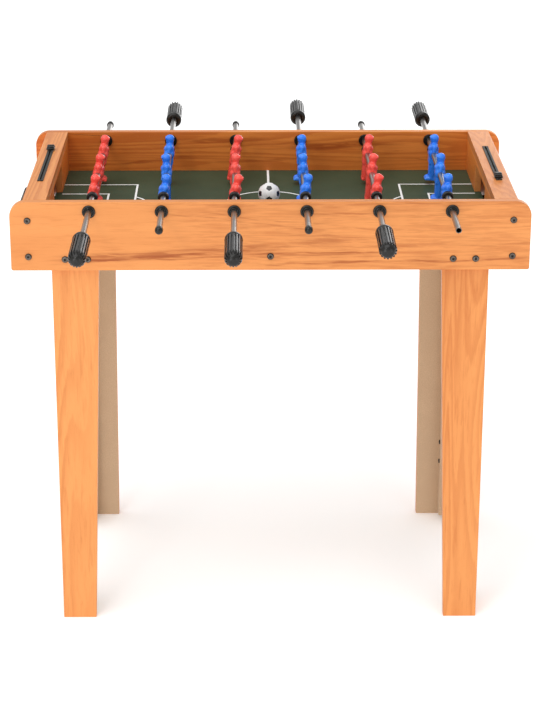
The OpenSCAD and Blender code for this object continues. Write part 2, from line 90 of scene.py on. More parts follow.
def handle_side(k):
    """Which way along Y the handle of rod k points."""
    return -1 if k % 2 else 1


def rod_axis(k):
    """The X and Z of a rod's axis, and its tube's radius."""
    low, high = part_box(f"rod_{k}_tube")
    return (low.x + high.x) / 2, (low.z + high.z) / 2, (high.x - low.x) / 2


def along_y(x, y, z, facing):
    """Puts local +Y along the table's +Y or -Y, at a point."""
    turn = Matrix.Rotation(math.pi, 4, "Z") if facing < 0 else Matrix.Identity(4)
    return Matrix.Translation((x, y, z)) @ turn


# ---- Mesh helpers -----------------------------------------------------------

def spin(bm, profile, matrix, segments=48, closed=False, shape=None):
    """Adds a surface turned round local Y. The profile is a list of (radius, distance along Y)."""
    rings = []
    for radius, along in profile:
        if radius == 0:
            rings.append([bm.verts.new(matrix @ Vector((0, along, 0)))])
            continue
        ring = []
        for i in range(segments):
            angle = math.tau * i / segments
            r = shape(radius, along, angle) if shape else radius
            point = Vector((r * math.sin(angle), along, r * math.cos(angle)))
            ring.append(bm.verts.new(matrix @ point))
        rings.append(ring)
    following = rings[1:] + rings[:1] if closed else rings[1:]
    for a, b in zip(rings, following):
        for i in range(segments):
            j = i + 1
            corners = [a[i % len(a)], a[j % len(a)], b[j % len(b)], b[i % len(b)]]
            bm.faces.new(list(dict.fromkeys(corners)))


def arc(centre, radii, start, end, steps):
    """Points of an elliptical arc in a profile, with the angles in degrees from the radius."""
    points = []
    for i in range(steps + 1):
        a = math.radians(start + (end - start) * i / steps)
        points.append((centre[0] + radii[0] * math.cos(a), centre[1] + radii[1] * math.sin(a)))
    return points


def rounded_box(bm, low, high, radius, segments=3):
    """Adds a box with rounded edges."""
    low, high = Vector(low), Vector(high)
    place = Matrix.Translation((low + high) / 2) @ Matrix.Diagonal((*(high - low), 1))
    made = bmesh.ops.create_cube(bm, size=1, matrix=place)
    edges = {edge for vert in made["verts"] for edge in vert.link_edges}
    bmesh.ops.bevel(
        bm, geom=list(edges), offset=radius, segments=segments, profile=0.5,
        affect="EDGES", clamp_overlap=True,
    )


def blob(bm, centre, radii):
    """Adds an ellipsoid."""
    place = Matrix.Translation(centre) @ Matrix.Diagonal((*radii, 1))
    bmesh.ops.create_icosphere(bm, subdivisions=3, radius=1, matrix=place)


def limb(bm, start, end, start_r, end_r):
    """Adds a round limb between two points, with ball ends."""
    start, end = Vector(start), Vector(end)
    turn = (end - start).to_track_quat("Z", "Y").to_matrix().to_4x4()
    place = Matrix.Translation((start + end) / 2) @ turn
    bmesh.ops.create_cone(
        bm, cap_ends=True, segments=24, radius1=start_r, radius2=end_r,
        depth=(end - start).length, matrix=place,
    )
    blob(bm, start, (start_r,) * 3)
    blob(bm, end, (end_r,) * 3)


def new_object(name, bm, sharp=35):
    """Makes an object from a bmesh, shaded smooth up to an angle in degrees."""
    bmesh.ops.recalc_face_normals(bm, faces=bm.faces)
    mesh = bpy.data.meshes.new(name)
    bm.to_mesh(mesh)
    bm.free()
    mesh.shade_smooth()
    mesh.set_sharp_from_angle(angle=math.radians(sharp))
    piece = bpy.data.objects.new(name, mesh)
    bpy.context.scene.collection.objects.link(piece)
    return piece


def place_piece(piece, material, body, slot, *nodes):
    """Gives a new piece its material and body, and hides the CAD nodes that it stands for."""
    if material:
        piece.data.materials.append(material)
    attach(piece, body)
    if nodes:
        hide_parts(*nodes)
    return piece


def applied(piece):
    """The mesh of an object with its modifiers applied."""
    shown = piece.evaluated_get(bpy.context.evaluated_depsgraph_get())
    mesh = bpy.data.meshes.new_from_object(shown)
    bpy.data.objects.remove(piece)
    return mesh


# ---- Material helpers -------------------------------------------------------

def add(tree, kind, inputs=None, **settings):
    """Adds a node. An input is a value or another node's output."""
    node = tree.nodes.new(kind)
    for key, value in settings.items():
        setattr(node, key, value)
    for key, value in (inputs or {}).items():
        if isinstance(value, bpy.types.NodeSocket):
            tree.links.new(value, node.inputs[key])
        else:
            node.inputs[key].default_value = value
    return node


def new_material(name, **constants):
    """A material with a Principled surface, and its tree and surface node."""
    material = bpy.data.materials.new(name)
    material.use_nodes = True
    tree = material.node_tree
    surface = tree.nodes["Principled BSDF"]
    for key, value in constants.items():
        surface.inputs[key.replace("_", " ")].default_value = value
    return material, tree, surface


def object_point(tree, scale=(1, 1, 1), offset=(0, 0, 0)):
    """Object coordinates in metres, moved and stretched."""
    source = add(tree, "ShaderNodeTexCoord").outputs["Object"]
    return add(
        tree, "ShaderNodeMapping", {"Vector": source, "Scale": scale, "Location": offset}
    ).outputs["Vector"]


def noise(tree, vector, scale, detail=2.0, roughness=0.5, distortion=0.0):
    """Noise from 0 to 1."""
    return add(
        tree, "ShaderNodeTexNoise",
        {"Vector": vector, "Scale": scale, "Detail": detail, "Roughness": roughness,
         "Distortion": distortion},
    ).outputs["Fac"]


def math_node(tree, operation, a, b=0.0, c=0.0):
    """One step of arithmetic."""
    return add(tree, "ShaderNodeMath", {0: a, 1: b, 2: c}, operation=operation).outputs[0]


def remap(tree, value, low, high, to_low=0.0, to_high=1.0):
    """Maps a range smoothly onto another, and clamps it."""
    return add(
        tree, "ShaderNodeMapRange",
        {"Value": value, "From Min": low, "From Max": high, "To Min": to_low, "To Max": to_high},
        interpolation_type="SMOOTHSTEP",
    ).outputs["Result"]


def blend(tree, factor, a, b, mode="MIX"):
    """Mixes two colours."""
    node = add(tree, "ShaderNodeMix", data_type="RGBA", blend_type=mode)
    colours = [socket for socket in node.inputs if socket.type == "RGBA"]
    for socket, value in zip([node.inputs[0], *colours], [factor, a, b]):
        if isinstance(value, bpy.types.NodeSocket):
            tree.links.new(value, socket)
        else:
            socket.default_value = value if isinstance(value, float) else (*value, 1)
    return [socket for socket in node.outputs if socket.type == "RGBA"][0]


def bump(tree, surface, height, strength, distance):
    """Bumps a surface by a height from 0 to 1, over a distance in metres."""
    normal = add(
        tree, "ShaderNodeBump", {"Height": height, "Strength": strength, "Distance": distance}
    ).outputs["Normal"]
    tree.links.new(normal, surface.inputs["Normal"])


# ---- Materials --------------------------------------------------------------

# The pine's tones, then the painted shade that its colour is multiplied by on faces inside the
# cabinet: deeper painted shade on the back panel, painted light that lifts the left goal wall, and
# the darkest painted shade on the end boards behind the goals
PINE_LIGHT = (0.76, 0.300, 0.088)
PINE = (0.60, 0.205, 0.052)
PINE_DARK = (0.50, 0.135, 0.028)
# The dark of the grain streaks, also the colour of the front panel's painted shade bands
PINE_STREAK_AND_SHADE = (0.33, 0.075, 0.014)
IN_SHADE = (1.15, 0.93, 0.60)
IN_DEEP_SHADE = (1.0, 0.79, 0.47)
LEFT_GOAL_PAINTED_LIGHT = (1.42, 1.20, 0.76)
BEHIND_GOAL_PAINTED_SHADE = (0.25, 0.215, 0.165)
# Bare board
RAW = (0.60, 0.42, 0.27)
RAW_DARK = (0.49, 0.335, 0.21)


def raw_colour(tree):
    """Bare fibreboard: fine dark and light flecks."""
    flecks = noise(tree, object_point(tree), 900, 3)
    clouds = noise(tree, object_point(tree), 25, 2)
    colour = blend(tree, remap(tree, flecks, 0.35, 0.65), RAW_DARK, RAW)
    return blend(tree, remap(tree, clouds, 0.3, 0.7, 0.0, 0.35), colour, RAW_DARK)


def facing(tree, direction):
    """1 on faces that look in a direction, and 0 elsewhere."""
    normal = add(tree, "ShaderNodeTexCoord").outputs["Normal"]
    dot = add(
        tree, "ShaderNodeVectorMath", {0: normal, 1: direction}, operation="DOT_PRODUCT"
    ).outputs["Value"]
    return remap(tree, dot, 0.75, 0.85)


def streak_and_shade_share(tree, lines, height, slope, half, start, end, strength):
    """How much of a dark band shows (grain streaks, and bands of painted shade on the front panel):
    it runs along X at a height at X = 0, with a slope.
    """
    place = add(
        tree, "ShaderNodeSeparateXYZ", {0: add(tree, "ShaderNodeTexCoord").outputs["Object"]}
    )
    x = place.outputs["X"]
    most_sway = 12 * MM
    sway = noise(tree, object_point(tree, (13, 13, 60), (height * 9, 0, 0)), 1.0, 2)
    sway = math_node(tree, "MULTIPLY", math_node(tree, "SUBTRACT", sway, 0.5), most_sway)
    line = math_node(tree, "MULTIPLY_ADD", x, slope, height)
    off = math_node(tree, "SUBTRACT", math_node(tree, "SUBTRACT", place.outputs["Z"], line), sway)
    band = remap(tree, math_node(tree, "ABSOLUTE", off), half, half * 0.25)
    fade = 40 * MM
    inside = math_node(
        tree, "MULTIPLY",
        remap(tree, x, start - fade, start + fade), remap(tree, x, end + fade, end - fade),
    )
    broken = remap(tree, lines, 0.4, 0.58, 0.35, 1.0)
    share = math_node(tree, "MULTIPLY", math_node(tree, "MULTIPLY", band, inside), broken)
    return math_node(tree, "MULTIPLY", share, strength)


def wood(name, grain, streaks_and_shade=(), bare=None, shaded=None, offset=0.0, figured=(0.12, 0.5),
         painted_shade_tint=None):
    """Pine-patterned laminate with its grain along an axis.

    Faces that look along bare are unfinished board, and those along shaded get painted shade: their
    colour is multiplied by the given tint, or by IN_SHADE.
    The two numbers in figured are the least and the most contrast of the growth rings.
    """
    material, tree, surface = new_material(name)
    surface.inputs["Specular IOR Level"].default_value = 0.3
    along_grain = 0.075
    ring_count = 26.0
    stretch = [1.0, 1.0, 1.0]
    stretch["xyz".index(grain)] = along_grain
    point = object_point(tree, tuple(stretch), (0.37 + offset, 0.21 + offset, 0.13 + offset))

    wide = noise(tree, point, 9, 2, 0.5, 0.3)
    figure = noise(tree, point, 12, 1.4, 0.45, 0.6)
    lines = noise(tree, point, 260, 3, 0.6, 0.4)
    fibres = noise(tree, point, 1100, 2, 0.6)
    jitter = math_node(tree, "MULTIPLY", lines, 0.7)
    rings = math_node(tree, "FRACT", math_node(tree, "MULTIPLY_ADD", figure, ring_count, jitter))
    rise = remap(tree, rings, 0.15, 0.84)
    fall = remap(tree, rings, 1.0, 0.88)
    late = math_node(tree, "MULTIPLY", rise, fall)
    strong = remap(tree, noise(tree, point, 6, 1), 0.42, 0.64, figured[0], figured[1])

    colour = blend(tree, remap(tree, wide, 0.35, 0.65), PINE_LIGHT, PINE)
    colour = blend(tree, math_node(tree, "MULTIPLY", late, strong), colour, PINE_DARK)
    colour = blend(tree, remap(tree, lines, 0.5, 0.78, 0.0, 0.38), colour, PINE_DARK)
    colour = blend(tree, remap(tree, fibres, 0.5, 0.8, 0.0, 0.2), colour, PINE_DARK)
    # Dark bands: grain streaks, and on the front panel bands of painted shade.
    for dark_band in streaks_and_shade:
        colour = blend(tree, streak_and_shade_share(tree, lines, *dark_band), colour, PINE_STREAK_AND_SHADE)
    gloss = remap(tree, fibres, 0.2, 0.8, 0.34, 0.46)
    # Painted shade: faces that look along shaded have their colour multiplied by a tint.
    if shaded:
        painted_shade_colour = blend(tree, facing(tree, shaded), (1.0, 1.0, 1.0), painted_shade_tint or IN_SHADE)
        colour = blend(tree, 1.0, colour, painted_shade_colour, "MULTIPLY")
    if bare:
        is_bare = facing(tree, bare)
        colour = blend(tree, is_bare, colour, raw_colour(tree))
        gloss = math_node(tree, "MULTIPLY_ADD", is_bare, 0.4, gloss)
    tree.links.new(colour, surface.inputs["Base Color"])
    tree.links.new(gloss, surface.inputs["Roughness"])
    bump(tree, surface, fibres, 0.25, 0.06 * MM)
    return material


def raw_board():
    """Unpainted board of the battens and strips."""
    material, tree, surface = new_material("raw_board", Roughness=0.82)
    tree.links.new(raw_colour(tree), surface.inputs["Base Color"])
    bump(tree, surface, noise(tree, object_point(tree), 700, 3), 0.4, 0.15 * MM)
    return material


def field_paint():
    """Dark green printed field, with bare hardboard underneath."""
    material, tree, surface = new_material("field_green", Roughness=0.5)
    surface.inputs["Specular IOR Level"].default_value = 0.2
    clouds = noise(tree, object_point(tree), 14, 3, 0.6)
    grains = noise(tree, object_point(tree), 1600, 2)
    green = blend(tree, remap(tree, clouds, 0.3, 0.7), (0.034, 0.060, 0.031), (0.046, 0.075, 0.041))
    green = blend(tree, remap(tree, grains, 0.45, 0.75, 0.0, 0.3), green, (0.06, 0.09, 0.056))
    colour = blend(tree, facing(tree, (0, 0, 1)), raw_colour(tree), green)
    tree.links.new(colour, surface.inputs["Base Color"])
    bump(tree, surface, grains, 0.15, 0.04 * MM)
    return material


def moulded(name, colour, lighter, roughness, coarse=350, depth=0.03, **constants):
    """Moulded plastic or rubber: slight cloudiness in its colour and gloss, and a fine skin."""
    material, tree, surface = new_material(name, **constants)
    clouds = noise(tree, object_point(tree), 45, 3, 0.6)
    skin = noise(tree, object_point(tree), coarse * 4, 2)
    tree.links.new(
        blend(tree, remap(tree, clouds, 0.3, 0.75), colour, lighter), surface.inputs["Base Color"]
    )
    tree.links.new(
        remap(tree, clouds, 0.25, 0.75, roughness - 0.05, roughness + 0.07),
        surface.inputs["Roughness"],
    )
    bump(tree, surface, skin, 0.35, depth * MM)
    return material


def steel():
    """Drawn steel tube, with fine marks along Y."""
    material, tree, surface = new_material("steel_tube", Metallic=1.0)
    marks = noise(tree, object_point(tree, (1, 0.01, 1)), 1500, 2, 0.5)
    clouds = noise(tree, object_point(tree), 30, 3)
    colour = blend(tree, remap(tree, marks, 0.3, 0.7), (0.26, 0.245, 0.235), (0.44, 0.425, 0.41))
    colour = blend(tree, remap(tree, clouds, 0.45, 0.75, 0.0, 0.35), colour, (0.22, 0.205, 0.19))
    tree.links.new(colour, surface.inputs["Base Color"])
    tree.links.new(remap(tree, marks, 0.2, 0.8, 0.27, 0.37), surface.inputs["Roughness"])
    bump(tree, surface, marks, 0.03, 0.01 * MM)
    return material


def screw_metal(name, dark, light):
    """Oxidised screw metal, in two tones."""
    material, tree, surface = new_material(name, Metallic=0.75)
    clouds = noise(tree, object_point(tree), 260, 3)
    colour = blend(tree, remap(tree, clouds, 0.35, 0.7), dark, light)
    tree.links.new(colour, surface.inputs["Base Color"])
    tree.links.new(remap(tree, clouds, 0.3, 0.7, 0.3, 0.45), surface.inputs["Roughness"])
    bump(tree, surface, clouds, 0.3, 0.03 * MM)
    return material


def line_paint():
    """The white lines of the field."""
    material, tree, surface = new_material("line_paint", Roughness=0.5)
    wear = noise(tree, object_point(tree), 240, 3, 0.6)
    colour = blend(tree, remap(tree, wear, 0.45, 0.8), (0.95, 0.96, 0.94), (0.84, 0.87, 0.83))
    tree.links.new(colour, surface.inputs["Base Color"])
    return material


# ---- CAD pieces that keep their shape ---------------------------------------

def dress(node, material, edge=0.0):
    """Gives a CAD node its material, and rounds its edges by a radius in metres."""
    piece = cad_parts[node]
    piece.data.materials.clear()
    piece.data.materials.append(material)
    weld = piece.modifiers.new("weld", "WELD")
    weld.merge_threshold = 0.001 * MM
    if edge:
        flat = piece.modifiers.new("flat", "DECIMATE")
        flat.decimate_type = "DISSOLVE"
        flat.angle_limit = math.radians(0.5)
        bevel = piece.modifiers.new("edges", "BEVEL")
        bevel.width = edge
        bevel.segments = 3
        bevel.limit_method = "ANGLE"
        bevel.angle_limit = math.radians(40)
        bevel.use_clamp_overlap = False
    normals = piece.modifiers.new("normals", "WEIGHTED_NORMAL")
    normals.keep_sharp = False


panel_low, panel_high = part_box("front_panel")

# Each streak: height at X = 0, slope, half width, start and end along X, and strength.
# The first of the front's is a broad darkening over the panel's height, from X = -0.12 to 0.40:
# partly the wood's tone and partly painted shade, darker away from the light on the left.
FRONT_STREAKS_AND_PAINTED_SHADE = [
    (panel_low.z + 52 * MM, 0.0, 140 * MM, -0.12, 0.40, 0.27),
    (panel_low.z + 31 * MM, 0.055, 8.5 * MM, -0.27, 0.0, 0.72),
    (panel_low.z + 31 * MM, 0.067, 2.4 * MM, -0.26, 0.02, 0.85),
    (panel_low.z + 20 * MM, 0.02, 1.8 * MM, -0.25, -0.05, 0.6),
    (panel_low.z + 21 * MM, 0.0, 7.0 * MM, -0.04, 0.14, 0.5),
    (panel_low.z + 23 * MM, 0.01, 1.8 * MM, -0.04, 0.14, 0.8),
    (panel_low.z + 9 * MM, 0.022, 2.2 * MM, 0.0, 0.33, 0.75),
    (panel_low.z + 45 * MM, -0.05, 11.0 * MM, 0.03, 0.12, 0.38),
    (panel_low.z + 62 * MM, -0.12, 2.2 * MM, -0.14, 0.06, 0.35),
    (panel_low.z + 70 * MM, -0.10, 1.6 * MM, -0.10, 0.12, 0.35),
    (panel_low.z + 80 * MM, -0.03, 2.4 * MM, 0.05, 0.20, 0.45),
    (panel_low.z + 28 * MM, 0.03, 5.0 * MM, 0.14, 0.34, 0.25),
    # The last is painted shade: a thin dark line just under the top edge, where the rounded edge
    # turns away from the light.
    (panel_high.z - 2.6 * MM, 0.0, 1.3 * MM, -0.34, 0.34, 0.3),
]
BACK_STREAKS = [
    (panel_high.z - 21 * MM, 0.0, 8.0 * MM, 0.04, 0.18, 0.8),
    (panel_high.z - 15 * MM, -0.03, 6.0 * MM, -0.13, 0.0, 0.6),
    (panel_high.z - 34 * MM, 0.06, 3.5 * MM, -0.28, -0.10, 0.6),
    (panel_high.z - 41 * MM, 0.0, 2.6 * MM, 0.17, 0.3, 0.45),
    (panel_high.z - 44 * MM, 0.02, 2.6 * MM, -0.1, 0.1, 0.35),
]

# The inner faces of the panels, goal walls and end boards get painted shade.
wood_front = wood("maple_front", "x", FRONT_STREAKS_AND_PAINTED_SHADE, shaded=(0, 1, 0), figured=(0.05, 0.27))
wood_back = wood(
    "maple_back", "x", BACK_STREAKS, shaded=(0, -1, 0), offset=0.4, figured=(0.25, 0.7),
    painted_shade_tint=IN_DEEP_SHADE,
)
wood_rail = wood("maple_rail", "y")
black_plastic = moulded(
    "black_plastic", (0.0065, 0.0061, 0.0052), (0.013, 0.012, 0.0102), 0.23, 350, 0.008,
    Specular_IOR_Level=0.34,
)
black_rubber = moulded(
    "black_rubber", (0.009, 0.009, 0.009), (0.017, 0.017, 0.016), 0.42, 250, 0.05,
    Specular_IOR_Level=0.35,
)
gray_plastic = moulded(
    "gray_plastic", (0.021, 0.0215, 0.020), (0.036, 0.036, 0.0325), 0.5, 300, 0.05,
    Specular_IOR_Level=0.3,
)
red_plastic = moulded(
    "red_plastic", (0.93, 0.076, 0.056), (0.98, 0.108, 0.08), 0.3, 200, 0.02,
    Subsurface_Weight=0.12, Subsurface_Radius=(0.004, 0.001, 0.0008),
)
blue_plastic = moulded(
    "blue_plastic", (0.018, 0.185, 0.86), (0.035, 0.25, 0.97), 0.3, 200, 0.02,
    Subsurface_Weight=0.12, Subsurface_Radius=(0.0008, 0.001, 0.004),
)
ball_white = moulded("ball_white", (0.86, 0.86, 0.85), (0.80, 0.80, 0.79), 0.3, 200, 0.02)
ball_black = moulded("ball_black", (0.014, 0.014, 0.015), (0.03, 0.03, 0.03), 0.3, 200, 0.02)
tube_steel = steel()
dark_screw = screw_metal("black_screw", (0.020, 0.017, 0.015), (0.045, 0.039, 0.034))
# The lighter screw metal is painted highlight, laid on the heads' rings round the socket.
screw_painted_highlight = screw_metal("screw_painted_highlight", (0.078, 0.066, 0.057), (0.16, 0.137, 0.118))
bare_board = raw_board()

dress("front_panel", wood_front, 0.9 * MM)
dress("back_panel", wood_back, 0.9 * MM)
for end, inward in (("left", 1), ("right", -1)):
    # Painted shade: the end board's inner face, seen through the goal, is darkened to a deep brown.
    end_wood = wood(f"maple_{end}_end", "y", shaded=(inward, 0, 0), painted_shade_tint=BEHIND_GOAL_PAINTED_SHADE)
    dress(f"{end}_end_board", end_wood, 0.5 * MM)
    dress(f"{end}_end_rail", wood_rail, 0.7 * MM)
    # Painted shade on the goal wall's inner face; on the left wall a lighter tint is painted light.
    goal_wood = wood(
        f"maple_{end}_goal", "y", bare=(-inward, 0, 0), shaded=(inward, 0, 0), offset=0.2,
        painted_shade_tint=LEFT_GOAL_PAINTED_LIGHT if end == "left" else IN_SHADE,
    )
    dress(f"{end}_goal_wall", goal_wood, 0.6 * MM)
    dress(f"{end}_ball_tray", black_plastic, 0.5 * MM)
    dress(f"{end}_score_track", gray_plastic, 0.25 * MM)
dress("playfield", field_paint())
dress("field_battens", bare_board, 0.6 * MM)
dress("leg_corner_strips", bare_board, 0.6 * MM)
for depth, into_y in (("front", 1), ("back", -1)):
    face_wood = wood(f"maple_{depth}_leg_face", "z", bare=(0, into_y, 0))
    for end, into_x in (("left", 1), ("right", -1)):
        side_wood = wood(f"maple_{depth}_{end}_leg_side", "z", bare=(into_x, 0, 0))
        dress(f"{depth}_{end}_leg_face", face_wood, 0.7 * MM)
        dress(f"{depth}_{end}_leg_side", side_wood, 0.7 * MM)
for k in RODS:
    dress(f"rod_{k}_tube", tube_steel)


# ---- Field lines ------------------------------------------------------------

def ribbon(bm, points, width, bottom, top, closed=False):
    """Adds a flat strip of paint along points in the XY plane."""
    count = len(points)
    columns = []
    for i, point in enumerate(points):
        before = points[i - 1] if i or closed else point
        after = points[(i + 1) % count] if i + 1 < count or closed else point
        a = (point - before).normalized() if before is not point else None
        b = (after - point).normalized() if after is not point else None
        a, b = a or b, b or a
        mean = (a + b).normalized()
        side = Vector((-mean.y, mean.x)) * (width / 2 / max(mean.dot(a), 0.3))
        columns.append([
            bm.verts.new((*(point + side * sign), height))
            for sign, height in ((-1, bottom), (1, bottom), (1, top), (-1, top))
        ])
    for i in range(count if closed else count - 1):
        a, b = columns[i], columns[(i + 1) % count]
        for j in range(4):
            bm.faces.new([a[j], a[(j + 1) % 4], b[(j + 1) % 4], b[j]])
    if not closed:
        bm.faces.new(columns[0])
        bm.faces.new(columns[-1])


def field_lines():
    """The centre line and circle, and each end's boxes and arc."""
    low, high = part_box("playfield")
    goal_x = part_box("right_goal_wall")[0].x
    bottom = high.z
    paint = 0.1 * MM
    proud = 1.2
    line = 2.8 * MM
    centre_line = 3.2 * MM
    circle_r = 62 * MM
    big_x, big_y = 190.6 * MM, 98 * MM
    small_x, small_y = 229.7 * MM, 51.4 * MM
    spot_x, arc_r = 217 * MM, 45 * MM
    clear = 0.3 * MM
    bm = bmesh.new()
    ends_y = high.y - clear
    ribbon(bm, [Vector((0, -ends_y)), Vector((0, ends_y))], centre_line, bottom, bottom + paint)
    circle = [
        Vector((circle_r * math.cos(a), circle_r * math.sin(a)))
        for a in (math.tau * i / 96 for i in range(96))
    ]
    ribbon(bm, circle, line, bottom, bottom + paint * proud, closed=True)
    for sx in (-1, 1):
        for x, y in ((big_x, big_y), (small_x, small_y)):
            corners = [(goal_x - clear, -y), (x, -y), (x, y), (goal_x - clear, y)]
            ribbon(bm, [Vector((sx * a, b)) for a, b in corners], line, bottom, bottom + paint)
        reach = math.acos((spot_x - big_x) / arc_r)
        bow = []
        for i in range(33):
            a = reach * (i / 16 - 1)
            bow.append(Vector((sx * (spot_x - arc_r * math.cos(a)), arc_r * math.sin(a))))
        ribbon(bm, bow, line, bottom, bottom + paint * proud)
    place_piece(new_object("field_lines", bm), line_paint(), CABINET, None)


# ---- Screws -----------------------------------------------------------------

def screw_place(points):
    """The outer middle of a screw's head, its outward axis, and its head and shank sizes."""
    low, high = box_of(points)
    extent = high - low
    axis = max(range(3), key=lambda i: extent[i])
    across = [i for i in range(3) if i != axis]
    middle = (low + high) / 2

    def radius(point):
        return math.hypot(*(point[i] - middle[i] for i in across))

    near = 0.1 * MM
    low_r = max(radius(p) for p in points if p[axis] < low[axis] + near)
    high_r = max(radius(p) for p in points if p[axis] > high[axis] - near)
    outward = -1 if low_r > high_r else 1
    head_r, shank_r = max(low_r, high_r), min(low_r, high_r)
    top = low[axis] if outward < 0 else high[axis]
    head_h = max(abs(p[axis] - top) for p in points if radius(p) > 0.9 * head_r)
    centre = middle.copy()
    centre[axis] = top
    direction = Vector([outward if i == axis else 0 for i in range(3)])
    return centre, direction, head_r, head_h, shank_r, extent[axis] - head_h


def screw_heads(node, name):
    """Round-headed screws with a hexagon socket, in the places of the CAD screws."""
    bm = bmesh.new()
    for points in solids(node):
        centre, direction, head_r, head_h, shank_r, shank_l = screw_place(points)
        turn = direction.to_track_quat("Y", "Z").to_matrix().to_4x4()
        place = Matrix.Translation(centre) @ turn
        socket_r = head_r * 0.42
        rim = head_h * 0.25
        top_r = head_r * 0.62

        def hexagon(radius, along, angle, limit=socket_r):
            if radius > limit:
                return radius
            sixth = math.tau / 6
            return radius * math.cos(sixth / 2) / math.cos(angle % sixth - sixth / 2)

        profile = [(0, -head_h - shank_l), (shank_r * 0.5, -head_h - shank_l)]
        profile += [(shank_r, 2 * MM - head_h - shank_l), (shank_r, -head_h), (head_r, -head_h)]
        profile += arc((top_r, rim - head_h), (head_r - top_r, head_h - rim), 0, 90, 5)
        profile += [(socket_r * 1.12, 0), (socket_r, -0.06 * head_h), (socket_r, -0.65 * head_h)]
        profile += [(0, -0.65 * head_h)]
        before = len(bm.faces)
        spin(bm, profile, place, 36, shape=hexagon)
        bm.faces.ensure_lookup_table()
        for face in bm.faces[before:]:
            out = face.calc_center_median() - centre
            from_axis = (out - direction * out.dot(direction)).length
            on_top = out.dot(direction) > -0.2 * head_h
            # Painted highlight: the ring on the head's top round the socket gets the lighter metal.
            if on_top and socket_r * 0.98 < from_axis < head_r * 0.8:
                face.material_index = 1
    piece = new_object(name, bm, 28)
    piece.data.materials.append(dark_screw)
    piece.data.materials.append(screw_painted_highlight)
    place_piece(piece, None, CABINET, "black_screw", node)


# ---- Bushings, bumpers, caps and handles ------------------------------------

def bushings(node, name, outward):
    """Flanged sleeves through a panel, each with a ring on its inner side."""
    flange = 3 * MM
    sleeve = 2.2 * MM
    lip = 1.1 * MM
    edge = 0.8 * MM
    nick = 0.2 * MM
    bm = bmesh.new()
    for points in solids(node):
        low, high = box_of(points)
        flange_r = (high.x - low.x) / 2
        tube_r = rod_axis(1)[2]
        bore = tube_r + RUNNING_FIT
        sleeve_r = bore + sleeve
        length = high.y - low.y
        y = low.y if outward < 0 else high.y
        place = along_y((low.x + high.x) / 2, y, (low.z + high.z) / 2, -outward)
        round_r = (flange_r - bore - lip) / 2
        profile = [(bore, 0.5 * MM), (bore + 0.4 * MM, 0.1 * MM)]
        profile += [(bore + lip, 0.35 * MM)]
        profile += arc((bore + lip + round_r, flange * 0.62), (round_r, flange * 0.62), -140, 0, 9)
        profile += [(flange_r, flange - nick), (flange_r - nick, flange)]
        profile += [(sleeve_r, flange), (sleeve_r, length), (bore, length)]
        spin(bm, profile, place, closed=True)
        inner = length - flange
        ring = [(sleeve_r, inner), (flange_r - nick, inner), (flange_r, inner + nick)]
        ring += arc((flange_r - edge, length - edge), (edge, edge), 0, 90, 4)
        ring += [(sleeve_r, length)]
        spin(bm, ring, place, closed=True)
    place_piece(new_object(name, bm), black_plastic, CABINET, "black_plastic", node)


def bumpers(k):
    """The two rubber rings beside the outer men."""
    x, z, tube_r = rod_axis(k)
    bore = tube_r + RUNNING_FIT
    edge = 1.6 * MM
    nick = 0.4 * MM
    bm = bmesh.new()
    for points in solids(f"rod_{k}_bumpers"):
        low, high = box_of(points)
        radius = (high.x - low.x) / 2
        length = high.y - low.y
        profile = [(bore, nick), (bore + nick, 0)]
        profile += arc((radius - edge, edge), (edge, edge), -90, 0, 5)
        profile += arc((radius - edge, length - edge), (edge, edge), 0, 90, 5)
        profile += [(bore + nick, length), (bore, length - nick)]
        spin(bm, profile, along_y(x, low.y, z, 1), closed=True)
    piece = new_object(f"rod_{k}_bumper_rings", bm)
    place_piece(piece, black_rubber, f"rod_{k}_carriage", "black_rubber", f"rod_{k}_bumpers")


def end_cap(k):
    """The domed black cap on the plain end."""
    x, z, tube_r = rod_axis(k)
    low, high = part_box(f"rod_{k}_end_cap")
    radius = (high.x - low.x) / 2
    length = high.y - low.y
    side = -handle_side(k)
    start = low.y if side > 0 else high.y
    tube_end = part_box(f"rod_{k}_tube")[1 if side > 0 else 0].y
    depth = abs(tube_end - start)
    dome = length * 0.45
    nick = 0.5 * MM
    profile = [(0, depth), (tube_r, depth), (tube_r, 0), (radius - nick, 0)]
    profile += [(radius, nick), (radius, length - dome)]
    profile += arc((0, length - dome), (radius, dome), 0, 90, 10)[1:-1]
    profile += [(0, length)]
    bm = bmesh.new()
    spin(bm, profile, along_y(x, start, z, side))
    piece = new_object(f"rod_{k}_cap", bm)
    place_piece(piece, black_plastic, f"rod_{k}", "black_rubber", f"rod_{k}_end_cap")


RIBS = 16
RIB_STEPS = 12
ROUND_ENDED_RODS = (1, 3, 4)


